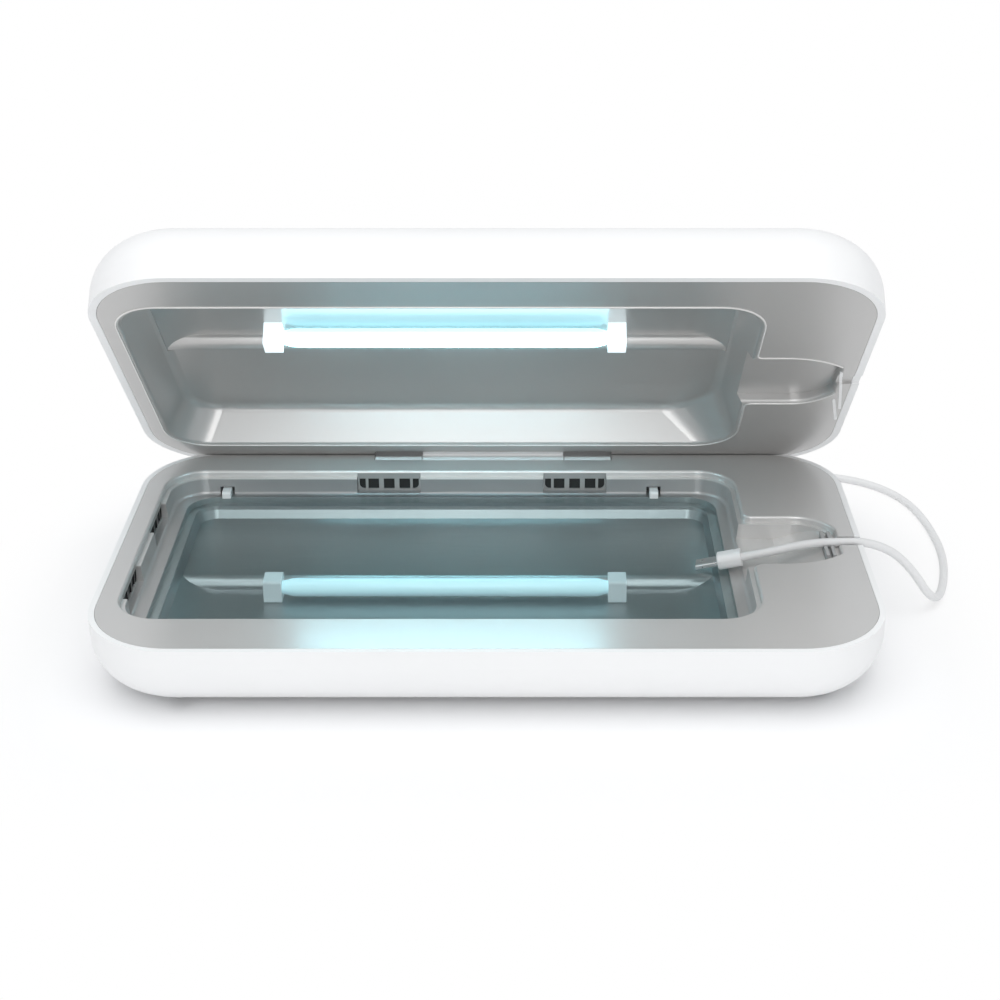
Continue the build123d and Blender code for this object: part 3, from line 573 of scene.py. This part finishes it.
# %% Path of the lid's bead
HINGE = Vector((0.0, 55.6915, 18.3)) * MM
LID_FACE = 23.0 * MM
OPEN_ANGLE = math.radians(46.2)
SETBACK = 1.15
SHIFT_Y = -5.5085


def arc(centre_x, centre_y, radius, start, end, steps=10):
    """Points along an arc, in mm, between two angles in degrees."""
    turns = [math.radians(start + (end - start) * step / steps) for step in range(steps + 1)]
    return [(centre_x + radius * math.cos(t), centre_y + radius * math.sin(t)) for t in turns]


def opened(x, y, level):
    """A point of the shut lid, in mm across and in metres up, turned open about the hinge."""
    arm = Vector((x * MM, (y + SHIFT_Y) * MM, level)) - HINGE
    cosine, sine = math.cos(OPEN_ANGLE), math.sin(OPEN_ANGLE)
    turned_arm = Vector((arm.x, arm.y * cosine + arm.z * sine, arm.z * cosine - arm.y * sine))
    return HINGE + turned_arm


bead_path = arc(92.5, 4.03, 12.77 + SETBACK, 22, 90)
bead_path += arc(80.6, 19.8, 3.0 - SETBACK, 270, 180, 6)
bead_path += arc(65.6, 38.6, 12.0 + SETBACK, 0, 90)
bead_path += arc(-92.0, 38.6, 12.0 + SETBACK, 90, 180)
bead_path += arc(-92.0, -35.2, 12.0 + SETBACK, 180, 270)
bead_path += arc(65.6, -35.2, 12.0 + SETBACK, -90, 0)
bead_path += arc(80.6, -17.0, 3.0 - SETBACK, 180, 90, 6)
bead_path += arc(88.0, 10.47, 24.47 + SETBACK, -90, -49)
print("bead points", len(bead_path))

# %% [markdown]
# A curve object with a round bevel turns the path into a thin rod. The same could be done with a
# circle extruded along an edge, but a curve stays easy to change: its thickness is one number.

# %% Bead round the lid's opening
BEAD_RADIUS = 0.32 * MM


def round_curve(name, kind, points, radius, roundness, finish):
    """A curve of one open spline with a round section, through points in metres."""
    curve = bpy.data.curves.new(name, "CURVE")
    curve.dimensions = "3D"
    curve.bevel_depth = radius
    curve.bevel_resolution = roundness
    curve.use_fill_caps = True
    spline = curve.splines.new(kind)
    spline.points.add(len(points) - 1)
    for point, place in zip(spline.points, points):
        point.co = (*place, 1)
    curve.materials.append(finish.material)
    return placed(name, curve)


# its silver is lighter than the lining's: a painted highlight on the lid's edge
bead_highlight_silver = silver_coat("bead_highlight_silver", 0.72, 0.80, 0.4)
bead_places = [opened(x, y, LID_FACE) for x, y in bead_path]
bead = round_curve("lid_edge_bead", "POLY", bead_places, BEAD_RADIUS, 3, bead_highlight_silver)
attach(bead, "lid")
print("bead thickness", round(2 * BEAD_RADIUS / MM, 2), "mm")

# %% [markdown]
# The charging lead is copper in a soft white jacket. From its plug in the chamber it lies along
# the channel, leaves by the notch, drops to the table and goes round to the port at the back. It
# could be bent by a simulation, but its lie is known, so it is one smooth curve through the
# same points as the solid it stands for. A spline of order 3 rounds every corner, as a limp lead
# does.

# %% Charging lead
LEAD_DIAMETER = 2.6 * MM
lead_points = [
    (75.3, -3.9, 19.2),
    (82.8, -4.9, 21.2),
    (94.0, -0.8, 21.9),
    (102.8, 0.45, 22.05),
    (115.3, 0.45, 22.05),
    (125.5, -0.9, 16.5),
    (135.7, -4.0, 1.35),
    (144.7, 27.0, 1.35),
    (143.9, 56.5, 1.35),
    (138.8, 75.5, 1.35),
    (127.5, 88.3, 1.35),
    (110.5, 93.5, 1.35),
    (94.0, 98.2, 2.0),
    (82.0, 96.0, 7.2),
    (80.0, 87.0, 12.5),
    (80.0, 80.0, 12.5),
]

white_jacket = Finish("white_jacket")
mottle = white_jacket.noise(scale=400)
white_jacket.surface(
    Base_Color=white_jacket.blend_colours(mottle, grey(0.74), grey(0.79)),
    Roughness=0.38 + mottle * 0.1,
    Normal=white_jacket.bump(mottle, strength=0.05, distance=0.00005),
)

lead_places = [(x * MM, (y + SHIFT_Y) * MM, z * MM) for x, y, z in lead_points]
lead = round_curve("charging_lead", "NURBS", lead_places, LEAD_DIAMETER / 2, 6, white_jacket)
lead.data.resolution_u = 24
spline = lead.data.splines[0]
spline.order_u = 3
spline.use_endpoint_u = True
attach(lead, "base")
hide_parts("charging_cable")
print("lead points", len(spline.points))

# %% [markdown]
# The plugs are moulded over the ends of the lead in a glossier white plastic than its jacket. A
# scan would show tiny flow marks. A slow noise that changes tone and gloss a little says the
# same at this size.

# %% Plugs
plug_white = Finish("plug_white")
plug_drift = plug_white.noise(scale=120)
plug_white.surface(
    Base_Color=plug_white.blend_colours(plug_drift, grey(0.82), grey(0.87)),
    Roughness=0.24 + plug_drift * 0.08,
)
dress(plug_white, "device_plug", "supply_plug", "supply_plug_relief")
print("plugs dressed")

# %% [markdown]
# Two nylon clips hold the glass plate at its rear edge. Their front tabs are white, and the part
# that reaches into the wall lies in the dark. The slot behind it is too shallow in the solid to
# get that dark from shadow alone, so the back of each clip is painted black as painted shade.

# %% Plate clips
CLIP_BACK = 46.3 * MM
# painted shade: the back of each clip is painted black
SLOT_SHADE_BLACK = grey(0.012)

clip_nylon = Finish("clip_nylon")
clip_speck = clip_nylon.noise(scale=500)
behind = clip_nylon.axis("Y").above(CLIP_BACK)
tab_white = clip_nylon.blend_colours(clip_speck, grey(0.90), grey(0.95))
clip_nylon.surface(
    Base_Color=clip_nylon.blend_colours(behind, tab_white, SLOT_SHADE_BLACK),
    Roughness=0.4 + clip_speck * 0.1,
)
dress(clip_nylon, "plate_clips")
print("clips dressed")

# %% [markdown]
# The small metal parts are plated or bare steel: hinge pin, screws, magnet, the port's lining
# and the tongue of the plug. Scratches could be painted, but none can be told apart at this
# size. A noise that wanders between polished and worn gives each of them a lively gleam.

# %% Bright steel
bright_steel = Finish("bright_steel")
worn = bright_steel.noise(scale=300, detail=3.0)
bright_steel.surface(
    Base_Color=bright_steel.blend_colours(worn, grey(0.58), grey(0.68)),
    Metallic=1.0,
    Roughness=0.22 + worn * 0.14,
)
dress(bright_steel, "hinge_pin", "base_screws", "board_screws", "lid_magnet", "lead_port")
dress(bright_steel, "device_plug_tongue")
print("metal dressed")

# %% [markdown]
# What is left is rubber, seals, black moulded parts and the green boards. Most of it is seen only
# from behind, from below or not at all, but a box that is turned or opened up should still be
# complete. One recipe serves them all, since they differ only in tone, gloss and the size of
# their grain.

# %% Rubber, moulded and board finishes
BOARD_DARK = (0.01, 0.08, 0.04, 1)
BOARD_LIGHT = (0.02, 0.12, 0.06, 1)


def simple_finish(name, low, high, scale, rough, spread):
    """A non-metal whose tone and gloss wander between two levels."""
    finish = Finish(name)
    wander = finish.noise(scale=scale, detail=3.0)
    finish.surface(
        Base_Color=finish.blend_colours(wander, low, high),
        Roughness=rough + wander * spread,
        Normal=finish.bump(wander, strength=0.1, distance=0.0001),
    )
    return finish


foot_rubber = simple_finish("foot_rubber", grey(0.035), grey(0.06), 900, 0.6, 0.2)
notch_seal = simple_finish("notch_seal_rubber", grey(0.36), grey(0.44), 700, 0.45, 0.2)
light_seal = simple_finish("light_seal_strip", grey(0.84), grey(0.90), 700, 0.25, 0.1)
black_moulded = simple_finish("black_moulded", grey(0.015), grey(0.03), 500, 0.35, 0.2)
solder_mask = simple_finish("solder_mask", BOARD_DARK, BOARD_LIGHT, 60, 0.3, 0.2)
dress(foot_rubber, "rubber_feet")
dress(notch_seal, "base_cable_seal")
dress(light_seal, "lid_cable_seal")
dress(black_moulded, "board_parts", "lamp_driver", "lid_sensor", "power_jack")
dress(solder_mask, "control_board", "port_board")
print("small parts dressed")

# %% [markdown]
# Behind each hole of the grilles lies a sheet of woven gauze, nearly black: painted shade that
# makes the holes read dark. A weave can be faked with a checker texture, but up close it should
# have a real surface. In a woven sheet the threads go up and down in turn, like the squares of a
# chessboard, so a small grid with every second corner pushed back is enough to catch the light as
# gauze does.

# %% Woven patch
THREAD = 0.25 * MM
WEAVE_LIFT = 0.05 * MM
GRID_CORNERS = [(0, 0), (1, 0), (1, 1), (0, 1)]


def woven_patch(shape, centre, along, inward, width, height):
    """A small chessboard sheet; along is its level direction, inward its depth."""
    columns = round(width / THREAD)
    rows = round(height / THREAD)
    grid = {}
    for column in range(columns + 1):
        for row in range(rows + 1):
            lift = WEAVE_LIFT * ((column + row) % 2)
            place = centre + along * (column / columns - 0.5) * width
            place = place + Vector((0, 0, 1)) * (row / rows - 0.5) * height + inward * lift
            grid[column, row] = shape.verts.new(place)
    for column in range(columns):
        for row in range(rows):
            shape.faces.new([grid[column + x, row + y] for x, y in GRID_CORNERS])


# nearly black gauze: painted shade behind the holes
shade_gauze = simple_finish("shade_gauze", grey(0.010), grey(0.028), 1500, 0.6, 0.2)
print("thread", THREAD / MM, "mm")

# %% [markdown]
# Each grille has three square holes and a narrow one at each end. The patches could be placed by
# hand, but the CAD box of the grilles gives their place, and the pitch and the sizes of the holes
# give the rest, so the gauze stays right if the grilles move.

# %% Gauze in the grilles
HOLE_PITCH = 5.05 * MM
HOLE_SIZE = 3.5 * MM
HOLE_RISE = 0.7 * MM
END_HOLE = 2.0 * MM
END_MARGIN = 0.5 * MM
GRILLE_HALF = 10.15 * MM
GAUZE_DEPTH = 0.35 * MM
WEAVE_ANGLE = 10


def gauze(name, middles, along, inward):
    """Five patches behind each grille: three square holes and two narrow end holes."""
    end_middle = GRILLE_HALF - END_MARGIN - END_HOLE / 2
    holes = [(step * HOLE_PITCH, HOLE_SIZE) for step in (-1, 0, 1)]
    holes += [(side * end_middle, END_HOLE) for side in (-1, 1)]

    def build(shape):
        for middle in middles:
            for shift, width in holes:
                centre = middle + along * shift + inward * GAUZE_DEPTH
                woven_patch(shape, centre, along, inward, width, HOLE_SIZE)

    new_piece(name, build, shade_gauze, "base", WEAVE_ANGLE)


low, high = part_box("rear_sound_grilles")
level = low.z + HOLE_RISE + HOLE_SIZE / 2
middles = [Vector((x, low.y, level)) for x in (low.x + GRILLE_HALF, high.x - GRILLE_HALF)]
gauze("rear_gauze", middles, Vector((1, 0, 0)), Vector((0, 1, 0)))

low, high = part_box("side_sound_grilles")
middles = [Vector((high.x, y, level)) for y in (low.y + GRILLE_HALF, high.y - GRILLE_HALF)]
gauze("side_gauze", middles, Vector((0, 1, 0)), Vector((-1, 0, 0)))
print("gauze placed")

# %% [markdown]
# The charging input at the back is a barrel jack: a round hole with a contact pin in its middle.
# The hole is in the CAD solid. The pin could be a plain rod, but its tip is rounded so that a
# plug finds it, so it is turned like the lamp tubes, and it stops short of the mouth.

# %% Pin of the charging input
PIN_RADIUS = 0.55 * MM
PIN_LENGTH = 6.6 * MM
PIN_START = 7.9 * MM
PIN_STEPS = 24
pin_profile = [
    (0.0, PIN_RADIUS),
    (PIN_LENGTH - 0.6 * MM, PIN_RADIUS),
    (PIN_LENGTH - 0.25 * MM, PIN_RADIUS * 0.85),
    (PIN_LENGTH - 0.05 * MM, PIN_RADIUS * 0.5),
    (PIN_LENGTH, PIN_RADIUS * 0.15),
]
low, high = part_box("power_jack")
pin_foot = Vector(((low.x + high.x) / 2, high.y - PIN_START, (low.z + high.z) / 2))
pin_form = turned(pin_profile, pin_foot, (0, 1, 0), PIN_STEPS)
new_piece("jack_contact_pin", pin_form, bright_steel, "base")
print("jack pin placed")

# %% [markdown]
# The floor is a wide pale table. A plain white floor would show a horizon or lose the shadow. So
# close to the box it is lit like any surface and keeps its soft shadow, and further out it
# turns by steps too small to see into a white that gives its own light. The change follows the
# distance from the box's footprint, and Light Path limits it to what the eye, a mirror or glass
# sees: for the light that falls on the box the floor stays an ordinary table.

# %% Floor
FLOOR_SIZE = 8.0
FOOTPRINT_MIDDLE = (0.0, -0.0095, 0.0)
FOOTPRINT_CORE = (0.080, 0.040, 1.0)
WHITE_START = 0.022
WHITE_END = 0.080
TABLE_COLOUR = (0.93, 0.93, 0.935, 1)
WHITE = (1, 1, 1, 1)

studio_floor = Finish("studio_floor")
where = studio_floor.node("NewGeometry", output="Position")
centred = studio_floor.vectors("SUBTRACT", where, FOOTPRINT_MIDDLE)
folded = studio_floor.vectors("ABSOLUTE", centred)
beyond = studio_floor.vectors("SUBTRACT", folded, FOOTPRINT_CORE)
outside = studio_floor.vectors("MAXIMUM", beyond, (0, 0, 0))
reach = studio_floor.vectors("LENGTH", outside, output="Value")
edge = {"Value": reach, "From Min": WHITE_START, "From Max": WHITE_END}
fade = studio_floor.node("MapRange", {"interpolation_type": "SMOOTHSTEP"}, edge)
seen = studio_floor.node("LightPath", output="Is Camera Ray")
mirrored = studio_floor.node("LightPath", output="Is Glossy Ray")
through = studio_floor.node("LightPath", output="Is Transmission Ray")
eye = (seen + mirrored + through).at_most(1.0)
table_top = studio_floor.node("BsdfDiffuse", {}, {"Color": TABLE_COLOUR})
paper_white = studio_floor.node("Emission", {}, {"Color": WHITE, "Strength": 1.0})
studio_floor.show(studio_floor.blend_shaders(eye * fade, table_top, paper_white))


def floor_square(shape):
    reach_out = FLOOR_SIZE / 2
    corners = [(-1, -1), (1, -1), (1, 1), (-1, 1)]
    shape.faces.new([shape.verts.new((x * reach_out, y * reach_out, 0.0)) for x, y in corners])


mesh_object("studio_floor", floor_square, studio_floor)
print("floor laid")

# %% [markdown]
# The room is an even pale grey from every side, a little cool, as in a tent of paper. A picture
# of a studio could light the box as well, but a plain tent has no edges that the silver would
# mirror. To the camera itself the room is plain white, so the background is white too.

# %% Room
ROOM_COLOUR = (0.96, 0.98, 1.0, 1)
ROOM_STRENGTH = 0.62

world = bpy.data.worlds.new("studio_world")
bpy.context.scene.world = world
room = Finish("studio_room", world, "OutputWorld")
tent = room.node("Background", {}, {"Color": ROOM_COLOUR, "Strength": ROOM_STRENGTH})
paper = room.node("Background", {}, {"Color": WHITE, "Strength": 1.0})
room.show(room.blend_shaders(room.node("LightPath", output="Is Camera Ray"), tent, paper))
print("room strength", ROOM_STRENGTH)

# %% [markdown]
# Two soft lamps shape the box. A large one hangs above and gives the floor its shadow. A tall
# narrow one stands in front, and the lid's wall at the hinge mirrors it as a bright band. One
# bare lamp could do both, but its hard shadow would look like sunlight. Both are kept weak
# enough that the white shells hardly clip.

# %% Lamps
LAMP_TARGET = (0, 0, 0.03)


def soft_lamp(name, place, width, height, power):
    """A rectangle of light, in metres and watts, that faces the box."""
    data = bpy.data.lights.new(name, "AREA")
    data.shape = "RECTANGLE"
    data.size = width
    data.size_y = height
    data.energy = power
    lamp = placed(name, data)
    lamp.location = place
    look = Vector(LAMP_TARGET) - Vector(place)
    lamp.rotation_euler = look.to_track_quat("-Z", "Y").to_euler()


soft_lamp("top_light", (0.0, -0.15, 1.6), width=1.8, height=1.3, power=11.5)
soft_lamp("front_light", (-0.05, -1.5, 0.95), width=0.38, height=1.9, power=7.5)
bpy.context.scene.view_settings.view_transform = "Standard"
print("lamps set")

# %% [markdown]
# Last comes one line that says the scene is ready.

# %% Finish
print("scene ready")
